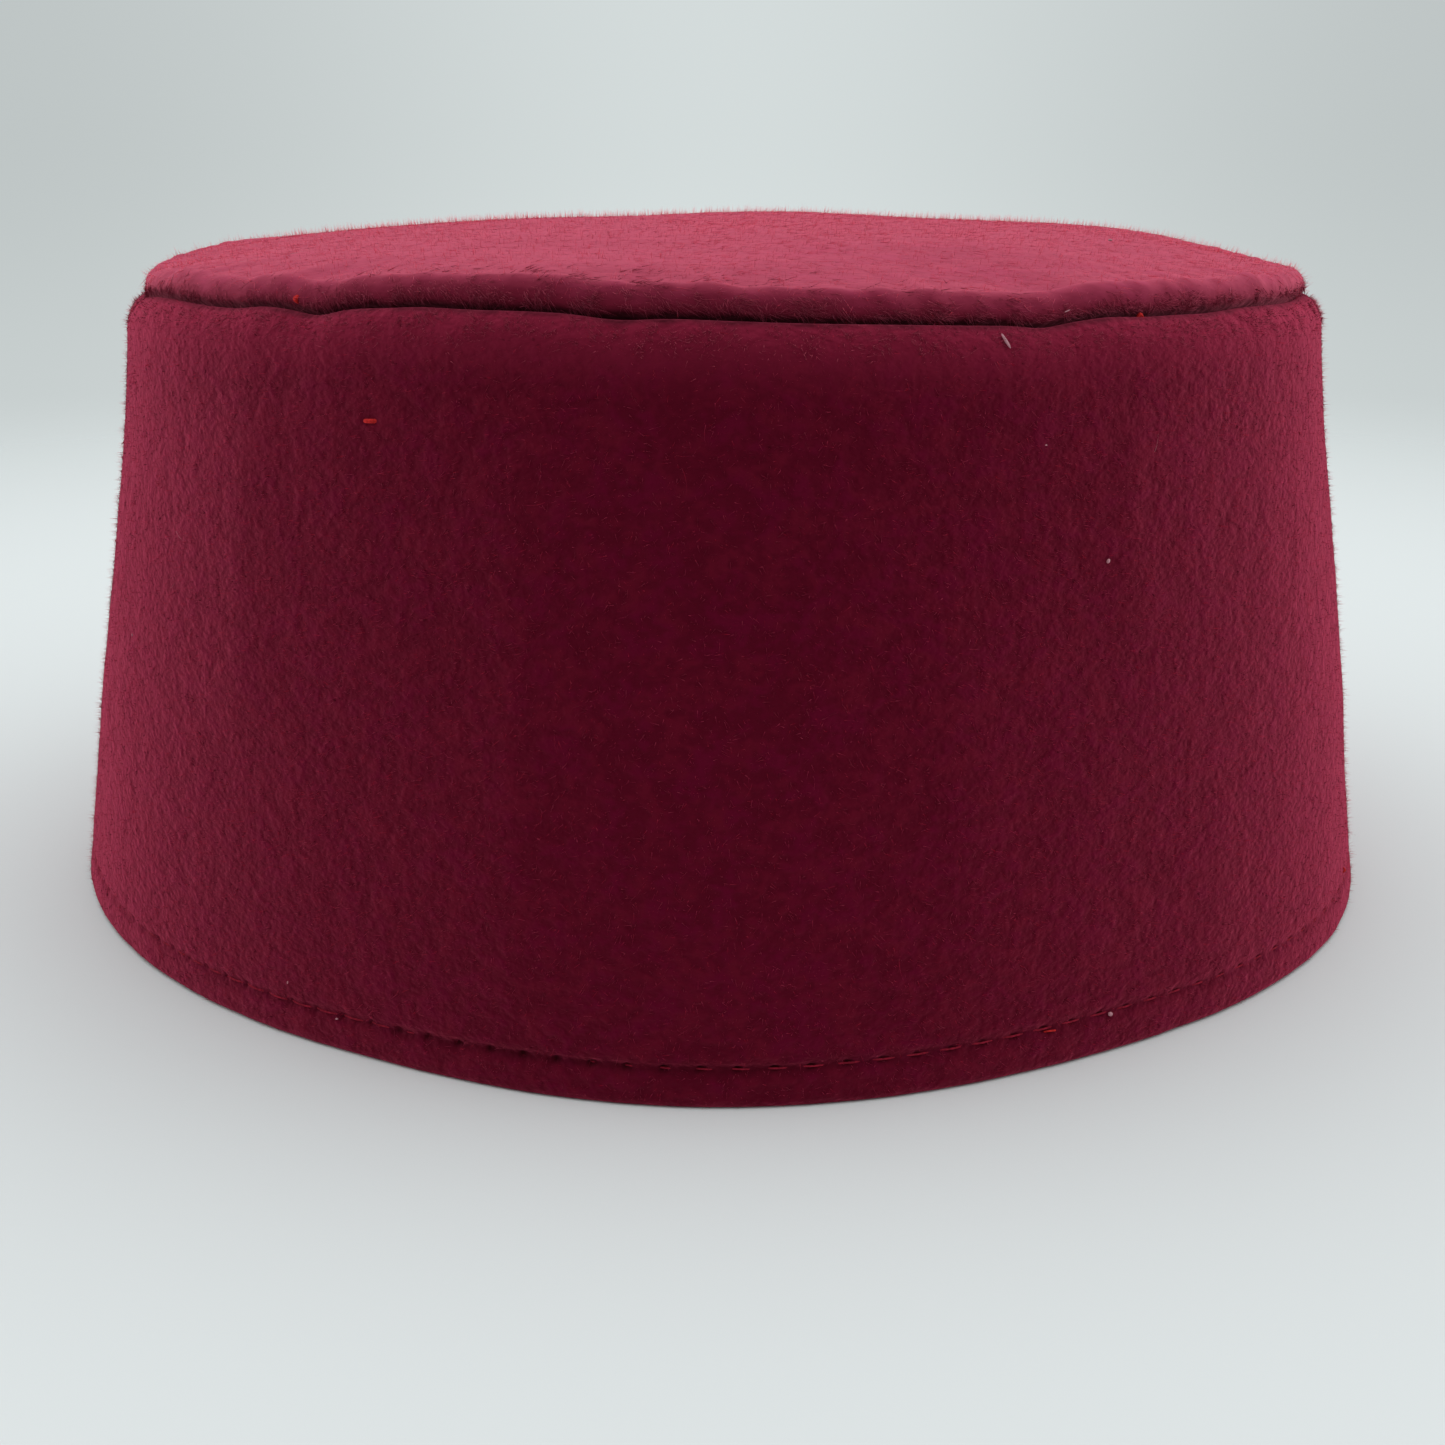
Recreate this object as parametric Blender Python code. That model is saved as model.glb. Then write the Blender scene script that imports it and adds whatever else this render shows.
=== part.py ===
"""A round felt kufi: an upright side band and a flat crown, sewn together along the top edge.

Metres, +Z up. The cap stands on its hem at Z = 0, with its middle on the Z axis and its front at -Y.
Each piece is a felt section turned about the Z axis. The turned round is then eased out of true,
as a sewn cap is, by tables that are read by angle: 0 degrees is +X and 90 degrees is +Y.
"""

from math import acos, atan, atan2, cos, degrees, floor, hypot, pi, radians, sin

import bmesh
import bpy
from mathutils import Matrix, Vector

# Sizes of the cap
HEAD_ROUND = 0.580  # around the head, measured inside the hem
TOP_RADIUS = 0.0850  # outside of the band, carried up its slope to the height of the seam
SEAM_HEIGHT = 0.0850  # from the table to the lip of the band
DOME_RISE = 0.0046  # the middle of the crown above its rolled rim
WALL_HOLLOW = 0.0009  # how far the band draws in, at most

# Sizes of the felt and its edges
FELT = 0.0016  # thickness of one layer
HEM_HEIGHT = 0.0090  # the layer folded up inside the lower edge
SHOULDER_EASE = 0.0026  # radius left inside the rounded top of the band
SEAM_ALLOWANCE = 0.0060  # the edges turned down inside the seam
SEAM_GAP = 0.0003  # between the two pieces
RIM_EASE = 0.0007  # radius left inside the rolled rim of the crown

# How the felt bends
LIP_SHARE = 0.75  # outside radius of the crease at the seam, as a share of the felt
FOLD_SHARE = 0.60  # rounding of the hem's fold, as a share of the felt
SHOULDER_TURN = radians(60)  # from upright, where the shoulder gives way to the lip
RIM_START = radians(130)  # where the crown leaves the band's lip, measured round the lip
DOME_POWER = 2.5  # a higher power keeps the crown flat further out
HOLLOW_PLACE = 0.75  # share of the band's height where it draws in the most

# How the cap leaves the round
BACK_DROP = 0.0018  # the back of the seam below its front
SEAM_WAVE = 0.0010  # how far the seam lifts where WAVES says 1
WAVE_REACH = 0.35  # share of the height, and of the radius, over which the waves fade out

# Columns of the tables below, whose rows go once round the cap in equal steps
BASE = 1
TOP = 2
LIFT = 1

# Plan of the lower edge and of the seam, as shares of their radius
PLAN = (
    # angle, base, top
    (0, 1.000, 0.995),
    (30, 0.990, 0.985),
    (60, 0.985, 1.000),
    (90, 0.985, 1.005),
    (120, 0.995, 1.000),
    (150, 1.015, 0.990),
    (180, 1.035, 1.000),
    (210, 1.010, 1.005),
    (240, 0.995, 1.000),
    (270, 1.020, 1.000),
    (300, 0.995, 1.000),
    (330, 1.010, 1.005),
)

# Lift of the seam along its length, as shares of SEAM_WAVE
WAVES = (
    # angle, lift
    (0, -1.6),
    (15, -0.5),
    (30, 0.3),
    (45, 0.4),
    (60, 0.1),
    (75, -0.3),
    (90, -0.2),
    (105, 0.0),
    (120, 0.2),
    (135, 0.1),
    (150, 0.0),
    (165, 0.2),
    (180, -0.5),
    (195, -1.2),
    (210, 0.0),
    (225, 0.0),
    (240, 1.0),
    (255, 1.3),
    (270, 0.5),
    (285, -0.5),
    (300, -0.7),
    (315, -0.3),
    (330, -0.8),
    (345, -1.3),
)

# Fineness of the mesh
COLUMNS = 72  # round the cap
WALL_ROWS = 7
SHOULDER_STEPS = 4
LIP_STEPS = 3
RIM_STEPS = 5
FOLD_STEPS = 2
DOME_SHARES = (0.93, 0.84, 0.72, 0.56, 0.36, 0.14)  # of the crown's radius, from the rim inwards
WELD = 1e-6  # points closer than this are one
SHARP_ANGLE = radians(50)  # edges sharper than this are shaded as edges

# Looks
FELT_ROUGHNESS = 0.95
BAND_COLOUR = (0.13, 0.006, 0.022)
CROWN_COLOUR = (0.17, 0.010, 0.032)

# The lower edge, worked out from the head
BASE_RADIUS = HEAD_ROUND / (2 * pi) + 2 * FELT
HEM_FOLD = FOLD_SHARE * FELT

# The seam: places are (inset from the outside of the band, height)
SHOULDER_RADIUS = SHOULDER_EASE + FELT
LIP_RADIUS = LIP_SHARE * FELT
LIP_HEIGHT = SEAM_HEIGHT - LIP_RADIUS
SHOULDER_HEIGHT = LIP_HEIGHT - (SHOULDER_RADIUS - LIP_RADIUS) * sin(SHOULDER_TURN)
LIP_INSET = SHOULDER_RADIUS - (SHOULDER_RADIUS - LIP_RADIUS) * cos(SHOULDER_TURN)
TURNED_END = LIP_HEIGHT - SEAM_ALLOWANCE

# The crown's rim rolls outwards over the lip
RIM_RADIUS = FELT + RIM_EASE
RIM_REACH = LIP_RADIUS + SEAM_GAP + RIM_RADIUS
RIM_INSET = LIP_INSET - RIM_REACH * cos(RIM_START)
RIM_HEIGHT = LIP_HEIGHT + RIM_REACH * sin(RIM_START)
DOME_SLOPE = atan(DOME_RISE * DOME_POWER / (TOP_RADIUS - RIM_INSET))


def arc(inset, height, radius, start, end, steps):
    """Points of an arc about (inset, height). Angle 0 faces outwards, pi / 2 up and pi inwards."""
    turn = (end - start) / steps
    angles = [start + turn * i for i in range(steps + 1)]
    return [(inset - radius * cos(a), height + radius * sin(a)) for a in angles]


def rise(inset, low, high, rows):
    """Points up a straight wall, the last one left to what follows."""
    step = (high - low) / rows
    return [(inset, low + step * i) for i in range(rows)]


def band_section():
    """The band's felt: up its outside, over the shoulder, down into the seam and back up inside."""
    turned_inset = LIP_INSET + LIP_RADIUS - FELT  # the side of the turned edge that faces the wall
    crease = acos((SHOULDER_RADIUS - turned_inset) / SHOULDER_EASE)
    hem_face = 2 * FELT

    outside = rise(0, HEM_FOLD, SHOULDER_HEIGHT, WALL_ROWS)
    shoulder = arc(SHOULDER_RADIUS, SHOULDER_HEIGHT, SHOULDER_RADIUS, 0, SHOULDER_TURN, SHOULDER_STEPS)
    lip = arc(LIP_INSET, LIP_HEIGHT, LIP_RADIUS, SHOULDER_TURN, pi, LIP_STEPS)
    turned = [(LIP_INSET + LIP_RADIUS, TURNED_END), (turned_inset, TURNED_END)]
    inner = arc(SHOULDER_RADIUS, SHOULDER_HEIGHT, SHOULDER_EASE, crease, 0, SHOULDER_STEPS - 1)
    inside = rise(FELT, HEM_HEIGHT, SHOULDER_HEIGHT, WALL_ROWS)[::-1]
    hem = [(hem_face, HEM_HEIGHT)]
    inner_fold = arc(hem_face - HEM_FOLD, HEM_FOLD, HEM_FOLD, pi, 1.5 * pi, FOLD_STEPS)
    outer_fold = arc(HEM_FOLD, HEM_FOLD, HEM_FOLD, 1.5 * pi, 2 * pi, FOLD_STEPS)[:-1]
    return outside + shoulder + lip[1:] + turned + inner + inside + hem + inner_fold + outer_fold


def crown_section():
    """The crown's felt: from the middle out to the rim, down into the seam and back inside."""
    rim_end = pi / 2 + DOME_SLOPE
    rim_tuck = RIM_START - pi
    past_lip = LIP_RADIUS + SEAM_GAP

    rim = arc(RIM_INSET, RIM_HEIGHT, RIM_RADIUS, rim_end, rim_tuck, RIM_STEPS)
    neck = arc(LIP_INSET, LIP_HEIGHT, past_lip, RIM_START, pi, LIP_STEPS)
    turned = [(LIP_INSET + past_lip, TURNED_END), (LIP_INSET + past_lip + FELT, TURNED_END)]
    inner_neck = arc(LIP_INSET, LIP_HEIGHT, past_lip + FELT, pi, RIM_START, LIP_STEPS)
    inner_rim = arc(RIM_INSET, RIM_HEIGHT, RIM_EASE, rim_tuck, rim_end, LIP_STEPS)
    top = dome(rim[0])
    under = dome(inner_rim[-1])
    return top[::-1] + rim + neck[1:] + turned + inner_neck + inner_rim[1:] + under


def dome(edge):
    """Points of the crown from its edge inwards to the middle."""
    inset, height = edge
    reach = TOP_RADIUS - inset
    shares = DOME_SHARES + (0,)
    return [(TOP_RADIUS - reach * k, height + DOME_RISE * (1 - k**DOME_POWER)) for k in shares]


def wall_radius(height):
    """Outside radius of the round band at a height. Above the seam it stays as at the seam."""
    up = min(max(height / SEAM_HEIGHT, 0), 1)
    power = HOLLOW_PLACE / (1 - HOLLOW_PLACE)
    drawn_in = up**power * (1 - up) / (HOLLOW_PLACE**power * (1 - HOLLOW_PLACE))
    return BASE_RADIUS + (TOP_RADIUS - BASE_RADIUS) * up - WALL_HOLLOW * drawn_in


def read_round(rows, column, angle):
    """A smooth value read by angle, in radians, from a table whose rows are equally spaced."""
    place = angle / (2 * pi) * len(rows)
    row = floor(place)
    u = place - row
    before, here, after, beyond = [rows[(row + k) % len(rows)][column] for k in (-1, 0, 1, 2)]
    slope = (after - before) / 2
    next_slope = (beyond - here) / 2
    bend = 3 * (after - here) - 2 * slope - next_slope
    twist = 2 * (here - after) + slope + next_slope
    return here + u * (slope + u * (bend + u * twist))


def fade(share, reach):
    """0 up to 1 - reach, then a smooth climb to 1 at share 1 and beyond."""
    u = min(max((share - 1 + reach) / reach, 0), 1)
    return u * u * (3 - 2 * u)


def ease_out_of_round(bm):
    """Gives the turned shape its real plan, and tilts and waves its seam.

    Both pieces go through it alike, so the gap between them stays.
    """
    seam_radius = TOP_RADIUS - LIP_INSET
    for vert in bm.verts:
        x, y, z = vert.co
        angle = atan2(y, x)
        up = min(z / SEAM_HEIGHT, 1)
        base = read_round(PLAN, BASE, angle)
        top = read_round(PLAN, TOP, angle)
        share = base + (top - base) * up
        wave = SEAM_WAVE * read_round(WAVES, LIFT, angle)
        near = fade(up, WAVE_REACH) * fade(hypot(x, y) / seam_radius, WAVE_REACH)
        tilt = -BACK_DROP * y / (2 * seam_radius) * up
        vert.co = (x * share, y * share, z + tilt + wave * near)


def felt_material(name, colour):
    material = bpy.data.materials.new(name)
    material.use_nodes = True
    shader = material.node_tree.nodes["Principled BSDF"]
    shader.inputs["Base Color"].default_value = (*colour, 1)
    shader.inputs["Roughness"].default_value = FELT_ROUGHNESS
    shader.inputs["Metallic"].default_value = 0
    return material


def turned_piece(name, section, closed, material):
    """A node made by turning a section of (inset, height) points about the Z axis."""
    bm = bmesh.new()
    points = [(max(wall_radius(z) - inset, 0), 0, z) for inset, z in section]
    verts = [bm.verts.new(point) for point in points]
    edges = [bm.edges.new(pair) for pair in zip(verts, verts[1:])]
    if closed:
        edges.append(bm.edges.new((verts[-1], verts[0])))
    bmesh.ops.spin(
        bm,
        geom=verts + edges,
        cent=(0, 0, 0),
        axis=(0, 0, 1),
        angle=2 * pi,
        steps=COLUMNS,
        use_merge=True,
    )
    bmesh.ops.remove_doubles(bm, verts=bm.verts, dist=WELD)
    ease_out_of_round(bm)
    bmesh.ops.recalc_face_normals(bm, faces=bm.faces)

    mesh = bpy.data.meshes.new(name)
    bm.to_mesh(mesh)
    bm.free()
    mesh.shade_smooth()
    mesh.set_sharp_from_angle(angle=SHARP_ANGLE)
    mesh.materials.append(material)
    piece = bpy.data.objects.new(name, mesh)
    bpy.context.scene.collection.objects.link(piece)
    return piece


def centre_on_axis(widest, *others):
    """Moves the pieces sideways together until the outline of the widest is centred on the Z axis."""
    corners = [Vector(corner) for corner in widest.bound_box]
    middle = sum(corners, Vector()) / len(corners)
    aside = Matrix.Translation((-middle.x, -middle.y, 0))
    for piece in (widest, *others):
        piece.data.transform(aside)


for leftover in list(bpy.data.objects):
    bpy.data.objects.remove(leftover)

band_felt = felt_material("burgundy_felt", BAND_COLOUR)
crown_felt = felt_material("brushed_felt", CROWN_COLOUR)
band = turned_piece("side_band", band_section(), True, band_felt)
crown = turned_piece("crown_top", crown_section(), False, crown_felt)
centre_on_axis(band, crown)

print(f"base {2000 * BASE_RADIUS:.1f} mm across, dome slope {degrees(DOME_SLOPE):.1f} degrees")
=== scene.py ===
# %% [markdown]
# # A felt kufi, from its solids to its looks
#
# A kufi is a round cap without a brim. This one is sewn from two pieces of brushed wool felt: a side band
# whose lower edge is folded up as a hem, and a round crown sewn in along a turned seam.
#
# The solids of the cap come in first and stay where they are. Everything made below is laid over them in
# the same metres: the same two shapes turned much finer, the topstitching, the nap and the lint.

from math import acos, asin, atan, atan2, cos, dist, exp, floor, hypot, pi, radians, sin

import bmesh
import bpy
import numpy as np
from mathutils import Matrix, Vector, noise
from mathutils.bvhtree import BVHTree


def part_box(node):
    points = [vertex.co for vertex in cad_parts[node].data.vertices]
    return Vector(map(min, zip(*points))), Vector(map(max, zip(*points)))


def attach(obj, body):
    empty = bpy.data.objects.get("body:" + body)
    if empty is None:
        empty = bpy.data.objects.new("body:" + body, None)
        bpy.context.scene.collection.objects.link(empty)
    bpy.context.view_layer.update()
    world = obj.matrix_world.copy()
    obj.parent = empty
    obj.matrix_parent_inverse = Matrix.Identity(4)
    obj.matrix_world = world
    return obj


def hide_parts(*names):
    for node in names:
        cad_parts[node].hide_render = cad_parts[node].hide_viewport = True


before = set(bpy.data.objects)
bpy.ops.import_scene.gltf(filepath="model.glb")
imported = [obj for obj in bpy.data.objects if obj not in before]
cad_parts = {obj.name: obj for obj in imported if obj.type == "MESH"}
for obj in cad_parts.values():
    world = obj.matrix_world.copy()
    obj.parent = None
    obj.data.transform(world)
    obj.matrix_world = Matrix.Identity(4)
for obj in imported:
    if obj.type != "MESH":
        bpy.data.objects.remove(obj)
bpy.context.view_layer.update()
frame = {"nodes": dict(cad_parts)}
print("solids:", ", ".join(frame["nodes"]))

# %% [markdown]
# ## The camera
#
# The cap is seen from a little above its top edge and from close by, so its sides taper strongly in the
# picture. A camera could be aimed with a constraint, but a matrix built from three small turns says the
# same with nothing left to solve.
#
# The colours were judged against a plain photograph, so the view transform is the plain one too.

# %% Set up the camera
scene = bpy.context.scene
scene.view_settings.view_transform = "Standard"

PICTURE_SIDE = 1445  # pixels each way
FOCAL_LENGTH = 1950  # in the same pixels
SENSOR = 36.0  # mm
CAMERA_PLACE = Vector((0.0028, -0.2933, 0.1068))
CAMERA_PITCH = radians(17.12)  # below level
CAMERA_YAW = radians(0.33)  # to the left
CAMERA_ROLL = radians(-0.09)

camera_data = bpy.data.cameras.new("camera")
camera_data.sensor_width = SENSOR
camera_data.lens = FOCAL_LENGTH / PICTURE_SIDE * SENSOR
camera_data.clip_start = 0.005
camera = bpy.data.objects.new("camera", camera_data)
aim = (
    Matrix.Rotation(CAMERA_YAW, 4, "Z")
    @ Matrix.Rotation(pi / 2 - CAMERA_PITCH, 4, "X")
    @ Matrix.Rotation(CAMERA_ROLL, 4, "Z")
)
camera.matrix_world = Matrix.Translation(CAMERA_PLACE) @ aim
scene.collection.objects.link(camera)
scene.camera = camera
print(f"camera: {camera_data.lens:.1f} mm lens, {CAMERA_PLACE.length * 1000:.0f} mm from the cap's foot")

# %% [markdown]
# ## Shader maths
#
# A felt finish is mostly arithmetic on noise. Drawn as nodes it soon becomes a tangle, so one small class
# wraps a node's output and turns Python's own operators into Math nodes. Colours and vectors have their
# own nodes, because a Math node would turn a colour grey.


# %% Wrap a node's output
class Signal:
    """What comes out of a shader node. Python's operators on it add Math nodes."""

    def __init__(self, tree, output=None):
        self.tree = tree
        self.output = output

    def node(self, kind, settings, values, output=0):
        """Adds a node: first its settings, then a number, colour or signal into each named input."""
        made = self.tree.nodes.new(kind)
        for name, setting in settings.items():
            setattr(made, name, setting)
        for name, value in values.items():
            if isinstance(value, Signal):
                self.tree.links.new(value.output, made.inputs[name])
            else:
                made.inputs[name].default_value = value
        return Signal(self.tree, made.outputs[output] if len(made.outputs) else None)

    def math(self, operation, *values):
        return self.node("ShaderNodeMath", {"operation": operation}, dict(enumerate(values)))

    def __add__(self, other):
        return self.math("ADD", self, other)

    __radd__ = __add__

    def __sub__(self, other):
        return self.math("SUBTRACT", self, other)

    def __rsub__(self, other):
        return self.math("SUBTRACT", other, self)

    def __mul__(self, other):
        return self.math("MULTIPLY", self, other)

    __rmul__ = __mul__

    def __pow__(self, other):
        return self.math("POWER", self, other)

    def ramp(self, low, high):
        """0 where the signal is at low, 1 where it is at high, with a smooth climb between."""
        ends = {"Value": self, "From Min": low, "From Max": high}
        return self.node("ShaderNodeMapRange", {"interpolation_type": "SMOOTHSTEP"}, ends)

    def blend(self, start, end):
        """From one colour to the other as the signal goes from 0 to 1."""
        values = {0: self, 6: start, 7: end}
        return self.node("ShaderNodeMix", {"data_type": "RGBA"}, values, 2)

    def stretched(self, scale):
        """A vector with its X, Y and Z each scaled."""
        return self.node("ShaderNodeVectorMath", {"operation": "MULTIPLY"}, {0: self, 1: scale})

    def grain(self, size, detail=2.0, roughness=0.5, distortion=0.0):
        """Noise on this vector whose lumps are about this size, in metres."""
        values = {
            "Vector": self,
            "Scale": 1 / size,
            "Detail": detail,
            "Roughness": roughness,
            "Distortion": distortion,
        }
        return self.node("ShaderNodeTexNoise", {}, values)

    def surface(self, values):
        """Closes a material with a Principled shader that has these values."""
        shader = self.node("ShaderNodeBsdfPrincipled", {}, values)
        self.node("ShaderNodeOutputMaterial", {}, {"Surface": shader})


def new_finish(name):
    """An empty material, and a signal to start its nodes from."""
    finish = bpy.data.materials.new(name)
    finish.use_nodes = True
    finish.node_tree.nodes.clear()
    return finish, Signal(finish.node_tree)


print("a signal can do:", ", ".join(sorted(vars(Signal))))

# %% [markdown]
# ## The light tent
#
# Small goods are often shown in a tent of white cloth: pale all round, brightest overhead, dimmest in
# front, where the lens looks in. A world whose brightness follows the direction does this with no lamp to
# place, and it leaves only the soft dark line under the hem that such a tent gives.
#
# What the lens sees behind the cap is the tent's even back, whichever side it looks from. The Light Path
# node tells that apart from the light that falls on the cap.

# %% Light the world
TENT_TINT = (0.925, 1.0, 1.0)
TENT_BACK = 0.56  # behind the cap
TENT_FRONT = 0.05  # the opening
TENT_TURN = (-0.3, 0.5)  # from front to back, as parts of a direction one unit long

# Light added on top: how much, then where it begins and where it is full, as such parts too
TENT_TOP = (1.40, 0.5, 1.0)
TENT_LEFT = (1.05, -0.50, -1.0)
TENT_RIGHT = (1.25, 0.40, 1.0)
TENT_GLOW = (0.15, 0.35, 0.0)  # in the middle of the back
TENT_LOW = (0.07, 0.0, -0.15)  # where the card runs up into the back


def added(way, light, begin, full):
    return light * way.ramp(begin, full)


world = bpy.data.worlds.new("light_tent")
world.use_nodes = True
world.node_tree.nodes.clear()
scene.world = world
start = Signal(world.node_tree)
direction = start.node("ShaderNodeTexCoord", {}, {}, "Generated")
across, along, up = [
    direction.node("ShaderNodeSeparateXYZ", {}, {"Vector": direction}, axis) for axis in "XYZ"
]
aside = across.math("ABSOLUTE", across)
back = TENT_BACK + added(aside, *TENT_GLOW) + added(up, *TENT_LOW)
level = TENT_FRONT + (back - TENT_FRONT) * along.ramp(*TENT_TURN)
sides = added(across, *TENT_RIGHT) + added(across, *TENT_LEFT)
falling = level + sides + added(up, *TENT_TOP)
seen = start.node("ShaderNodeLightPath", {}, {}, "Is Camera Ray")
brightness = seen * back + (1 - seen) * falling
sky = start.node("ShaderNodeBackground", {}, {"Color": (*TENT_TINT, 1), "Strength": brightness})
start.node("ShaderNodeOutputWorld", {}, {"Surface": sky})
print(f"tent: {TENT_BACK} behind, {TENT_FRONT} in front, {TENT_TOP[0]} more overhead")

# %% [markdown]
# ## The floor
#
# The cap stands on a sheet of pale, dull card. The sheet is a single disc that turns see-through towards
# its edge, so it runs into the tent's wall with no line between them, as a curved sheet of paper does.

# %% Lay the floor
FLOOR_RADIUS = 1.4
FLOOR_TONE = (0.765, 0.760, 0.765)
FLOOR_SOLID = 0.20  # from the middle out to here the card is whole
FLOOR_GONE = 0.60  # and from here on it is gone

bm = bmesh.new()
bmesh.ops.create_circle(bm, cap_ends=True, segments=96, radius=FLOOR_RADIUS)
floor_mesh = bpy.data.meshes.new("floor")
bm.to_mesh(floor_mesh)
bm.free()
card_floor = bpy.data.objects.new("floor", floor_mesh)
scene.collection.objects.link(card_floor)

card, start = new_finish("pale_card")
place = start.node("ShaderNodeTexCoord", {}, {}, "Object")
far = place.node("ShaderNodeVectorMath", {"operation": "LENGTH"}, {0: place}, "Value")
start.surface(
    {
        "Base Color": (*FLOOR_TONE, 1),
        "Roughness": 0.9,
        "Specular IOR Level": 0.1,
        "Alpha": 1 - far.ramp(FLOOR_SOLID, FLOOR_GONE),
    }
)
floor_mesh.materials.append(card)
print(f"floor: {2 * FLOOR_RADIUS} m across")

# %% [markdown]
# ## The shape of the felt
#
# The solids were turned from two felt sections in 72 steps, which shows as facets up close. The same
# sections are drawn again here from the same sizes, with many more points. Subdividing the solids would
# be quicker, but a section drawn fresh puts its points where the detail will be: along the hem and over
# the seam.

# %% Sizes of the cap, as in the solids
MM = 0.001  # in metres, which all lengths are in unless they say mm

HEAD_ROUND = 0.580  # around the head, inside the hem
TOP_RADIUS = 0.0850  # outside of the band at the height of the seam
SEAM_HEIGHT = 0.0850
DOME_RISE = 0.0046
WALL_HOLLOW = 0.0009
FELT = 0.0016  # one layer
HEM_HEIGHT = 0.0090
SHOULDER_EASE = 0.0026
SEAM_ALLOWANCE = 0.0060
SEAM_GAP = 0.0003
RIM_EASE = 0.0007
LIP_SHARE = 0.75
FOLD_SHARE = 0.60
SHOULDER_TURN = radians(60)
RIM_START = radians(130)
DOME_POWER = 2.5
HOLLOW_PLACE = 0.75
BACK_DROP = 0.0018
SEAM_WAVE = 0.0010
WAVE_REACH = 0.35

BASE_RADIUS = HEAD_ROUND / (2 * pi) + 2 * FELT
HEM_FOLD = FOLD_SHARE * FELT
SHOULDER_RADIUS = SHOULDER_EASE + FELT
LIP_RADIUS = LIP_SHARE * FELT
LIP_HEIGHT = SEAM_HEIGHT - LIP_RADIUS
SHOULDER_HEIGHT = LIP_HEIGHT - (SHOULDER_RADIUS - LIP_RADIUS) * sin(SHOULDER_TURN)
LIP_INSET = SHOULDER_RADIUS - (SHOULDER_RADIUS - LIP_RADIUS) * cos(SHOULDER_TURN)
TURNED_END = LIP_HEIGHT - SEAM_ALLOWANCE
RIM_RADIUS = FELT + RIM_EASE
RIM_REACH = LIP_RADIUS + SEAM_GAP + RIM_RADIUS
RIM_INSET = LIP_INSET - RIM_REACH * cos(RIM_START)
RIM_HEIGHT = LIP_HEIGHT + RIM_REACH * sin(RIM_START)
DOME_SLOPE = atan(DOME_RISE * DOME_POWER / (TOP_RADIUS - RIM_INSET))
print(f"hem {2000 * BASE_RADIUS:.1f} mm across, shoulder from {1000 * SHOULDER_HEIGHT:.1f} mm up")

# %% [markdown]
# A section is a list of places, each an inset from the outside of the band and a height. Only arcs and
# straight runs are needed, because that is how felt bends over a seam.

# %% Draw the felt sections
HEM_TOP = 0.0072  # the closely spaced rows for the topstitching end here
HEM_ROWS = 17
WALL_ROWS = 36
INNER_ROWS = 12
ARC_STEPS = 6
DOME_ROWS = 40
UNDER_ROWS = 9


def arc(inset, height, radius, start, end, steps):
    turn = (end - start) / steps
    angles = [start + turn * i for i in range(steps + 1)]
    return [(inset - radius * cos(a), height + radius * sin(a)) for a in angles]


def rise(inset, low, high, rows):
    step = (high - low) / rows
    return [(inset, low + step * i) for i in range(rows)]


def dome(edge, rows):
    """From the edge of the crown in to its middle, with the rows closest at the edge."""
    inset, height = edge
    reach = TOP_RADIUS - inset
    shares = [cos(pi / 2 * i / rows) for i in range(1, rows)] + [0]
    return [(TOP_RADIUS - reach * k, height + DOME_RISE * (1 - k**DOME_POWER)) for k in shares]


def band_section():
    turned_inset = LIP_INSET + LIP_RADIUS - FELT
    crease = acos((SHOULDER_RADIUS - turned_inset) / SHOULDER_EASE)
    hem_face = 2 * FELT

    outside = rise(0, HEM_FOLD, HEM_TOP, HEM_ROWS) + rise(0, HEM_TOP, SHOULDER_HEIGHT, WALL_ROWS)
    shoulder = arc(SHOULDER_RADIUS, SHOULDER_HEIGHT, SHOULDER_RADIUS, 0, SHOULDER_TURN, ARC_STEPS)
    lip = arc(LIP_INSET, LIP_HEIGHT, LIP_RADIUS, SHOULDER_TURN, pi, ARC_STEPS)
    turned = [(LIP_INSET + LIP_RADIUS, TURNED_END), (turned_inset, TURNED_END)]
    inner = arc(SHOULDER_RADIUS, SHOULDER_HEIGHT, SHOULDER_EASE, crease, 0, ARC_STEPS // 2)
    inside = rise(FELT, HEM_HEIGHT, SHOULDER_HEIGHT, INNER_ROWS)[::-1]
    hem = rise(hem_face, HEM_FOLD, HEM_HEIGHT, ARC_STEPS)[:0:-1]
    inner_fold = arc(hem_face - HEM_FOLD, HEM_FOLD, HEM_FOLD, pi, 1.5 * pi, ARC_STEPS // 2)
    outer_fold = arc(HEM_FOLD, HEM_FOLD, HEM_FOLD, 1.5 * pi, 2 * pi, ARC_STEPS // 2)[:-1]
    hem_edge = [(hem_face, HEM_HEIGHT)]
    return outside + shoulder + lip[1:] + turned + inner + inside + hem_edge + hem + inner_fold + outer_fold


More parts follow.
